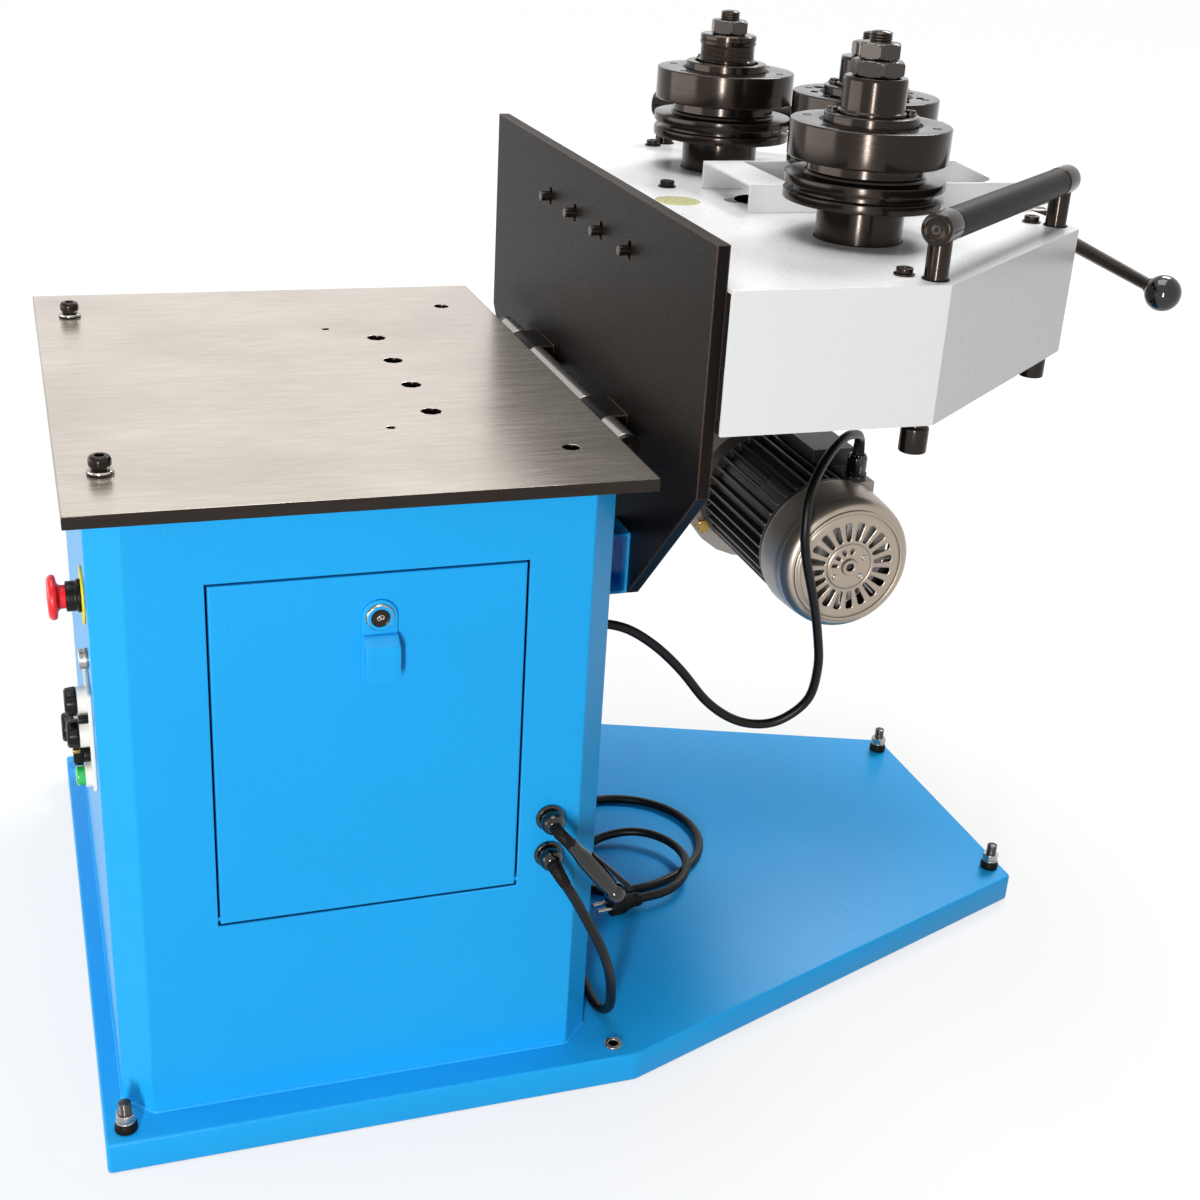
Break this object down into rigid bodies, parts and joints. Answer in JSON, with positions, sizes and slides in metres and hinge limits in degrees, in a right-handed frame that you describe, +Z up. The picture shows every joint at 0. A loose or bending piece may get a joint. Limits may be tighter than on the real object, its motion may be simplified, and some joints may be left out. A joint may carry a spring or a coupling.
{
  "type": "ring roller",
  "caption": "Motor-driven ring roller: steel cabinet on a tray base, work table, and a tilting head with grooved forming rolls and a screw-fed centre roll.",
  "frame": {"origin": "floor point under the centre of the cabinet, on the foot of the base frame", "axes": "+Z up, +X from the cabinet towards the rolling head and its crank, -Y towards the door side"},
  "size_m": [1.1325, 0.774, 1.0246],
  "materials": {
    "blue_paint": "semi-gloss powder coat",
    "white_paint": "gloss powder coat",
    "black_paint": "satin, fine orange peel",
    "black_oxide": "blackened, lightly oiled",
    "brushed_steel": "ground and brushed",
    "bright_steel": "bright turned steel",
    "cast_aluminium": "cast, satin",
    "dark_casting": "painted casting, matte",
    "brass": "turned",
    "black_plastic": "moulded, satin",
    "black_rubber": "matte",
    "cord_rubber": "smooth cable sheath",
    "white_plastic": "moulded, satin",
    "pale_plastic": "moulded, matte",
    "red_plastic": "moulded, gloss",
    "yellow_plastic": "moulded, satin",
    "green_plastic": "moulded, gloss"
  },
  "bodies": {
    "base": {"base_tray": "blue_paint", "base_frame": "blue_paint", "cabinet_shell": "blue_paint", "switch_panel": "bright_steel", "switchgear": "black_plastic", "table_top": "brushed_steel", "table_hinge": "bright_steel", "hinge_pin": "black_oxide", "control_panel": "white_plastic", "estop_base": "yellow_plastic", "gland_upper": "black_plastic", "gland_lower": "black_plastic", "coupler_body": "black_plastic", "mains_lead": "cord_rubber", "mains_coil": "cord_rubber", "mains_plug": "black_rubber"},
    "door": {"cabinet_door": "blue_paint", "door_pull": "blue_paint"},
    "lock": {"lock_core": "black_plastic"},
    "estop": {"estop_button": "red_plastic"},
    "key": {"key_switch": "bright_steel"},
    "knob_one": {"knob_1": "black_plastic"},
    "knob_two": {"knob_2": "black_plastic"},
    "knob_three": {"knob_3": "black_plastic"},
    "selector": {"selector": "black_plastic"},
    "green": {"green_button": "green_plastic"},
    "coupler_lever": {"coupler_lever": "black_plastic"},
    "head": {"tilt_plate": "black_paint", "head_frame": "dark_casting", "head_cover": "white_paint", "channel_cover": "white_paint", "handle_front": "black_oxide", "handle_back": "black_oxide", "grip_front": "black_rubber", "grip_back": "black_rubber", "inspection_plug": "pale_plastic", "roll_housing_1": "black_oxide", "roll_housing_2": "black_oxide", "screw_nut": "brass", "motor_body": "dark_casting", "fan_cover": "cast_aluminium", "gearbox": "cast_aluminium", "terminal_box": "cast_aluminium", "motor_cable": "cord_rubber"},
    "idler": {"idler_gear": "bright_steel"},
    "roll_one": {"roll_1_lower_ring": "black_oxide", "roll_1_upper_ring": "black_oxide", "roll_1_shaft": "black_oxide", "roll_1_gear": "bright_steel"},
    "roll_two": {"roll_2_lower_ring": "black_oxide", "roll_2_upper_ring": "black_oxide", "roll_2_shaft": "black_oxide", "roll_2_gear": "bright_steel"},
    "slide": {"slide_block": "black_oxide"},
    "roll_three": {"roll_3_lower_ring": "black_oxide", "roll_3_upper_ring": "black_oxide", "roll_3_shaft": "black_oxide"},
    "crank": {"slide_screw": "bright_steel", "crank_lever": "black_plastic"},
    "motor": {"motor_fan": "black_plastic"}
  },
  "joints": [
    {"name": "head_tilt", "type": "hinge", "parent": "base", "child": "head", "pos_m": [0.2795, 0, 0.639], "axis": [0, -1, 0], "range_deg": [0, 90]},
    {"name": "door_swing", "type": "hinge", "parent": "base", "child": "door", "pos_m": [0.0035, -0.338, 0.2432], "axis": [1, 0, 0], "range_deg": [0, 90]},
    {"name": "lock_turn", "type": "hinge", "parent": "door", "child": "lock", "pos_m": [0.01, -0.342, 0.541], "axis": [0, -1, 0], "range_deg": [0, 90]},
    {"name": "estop_push", "type": "slide", "parent": "base", "child": "estop", "axis": [1, 0, 0], "range_m": [0, 0.004], "stiffness_N_per_m": 800, "springref_m": -0.004},
    {"name": "key_turn", "type": "hinge", "parent": "base", "child": "key", "pos_m": [-0.235, -0.24, 0.475], "axis": [-1, 0, 0], "range_deg": [0, 90]},
    {"name": "knob_1_turn", "type": "hinge", "parent": "base", "child": "knob_one", "pos_m": [-0.25, -0.24, 0.433], "axis": [-1, 0, 0], "range_deg": [-135, 135]},
    {"name": "knob_2_turn", "type": "hinge", "parent": "base", "child": "knob_two", "pos_m": [-0.25, -0.24, 0.3995], "axis": [-1, 0, 0], "range_deg": [-135, 135]},
    {"name": "knob_3_turn", "type": "hinge", "parent": "base", "child": "knob_three", "pos_m": [-0.25, -0.205, 0.3885], "axis": [-1, 0, 0], "range_deg": [-135, 135]},
    {"name": "selector_turn", "type": "hinge", "parent": "base", "child": "selector", "pos_m": [-0.239, -0.24, 0.377], "axis": [-1, 0, 0], "range_deg": [-45, 45]},
    {"name": "green_push", "type": "slide", "parent": "base", "child": "green", "axis": [1, 0, 0], "range_m": [0, 0.003], "stiffness_N_per_m": 400, "springref_m": -0.003},
    {"name": "coupler_lever_swing", "type": "hinge", "parent": "base", "child": "coupler_lever", "pos_m": [0.2159, -0.378, 0.2875], "axis": [0, -1, 0], "range_deg": [0, 20], "stiffness_Nm_per_rad": 0.05, "springref_deg": -11.46},
    {"name": "roll_1_turn", "type": "hinge", "parent": "head", "child": "roll_one", "pos_m": [0.525, 0.197, 0.9], "axis": [0, 0, 1], "continuous": true},
    {"name": "roll_2_turn", "type": "hinge", "parent": "head", "child": "roll_two", "pos_m": [0.525, -0.171, 0.9], "axis": [0, 0, 1], "continuous": true},
    {"name": "idler_turn", "type": "hinge", "parent": "head", "child": "idler", "pos_m": [0.525, 0.013, 0.73], "axis": [0, 0, 1], "continuous": true},
    {"name": "centre_slide", "type": "slide", "parent": "head", "child": "slide", "axis": [1, 0, 0], "range_m": [-0.018, 0.06]},
    {"name": "crank_turn", "type": "hinge", "parent": "slide", "child": "crank", "pos_m": [0.845, 0.013, 0.8], "axis": [1, 0, 0], "range_deg": [-1295, 4319]},
    {"name": "roll_3_turn", "type": "hinge", "parent": "slide", "child": "roll_three", "pos_m": [0.612, 0.013, 0.9], "axis": [0, 0, 1], "continuous": true},
    {"name": "motor_turn", "type": "hinge", "parent": "head", "child": "motor", "pos_m": [0.57, 0, 0.463], "axis": [0, 1, 0], "continuous": true}
  ],
  "couplings": [
    {"joint": "roll_2_turn", "follows": "roll_1_turn", "ratio": 1},
    {"joint": "idler_turn", "follows": "roll_1_turn", "ratio": -2},
    {"joint": "motor_turn", "follows": "roll_1_turn", "ratio": 40},
    {"joint": "centre_slide", "follows": "crank_turn", "m_per_rad": 0.00079577}
  ]
}
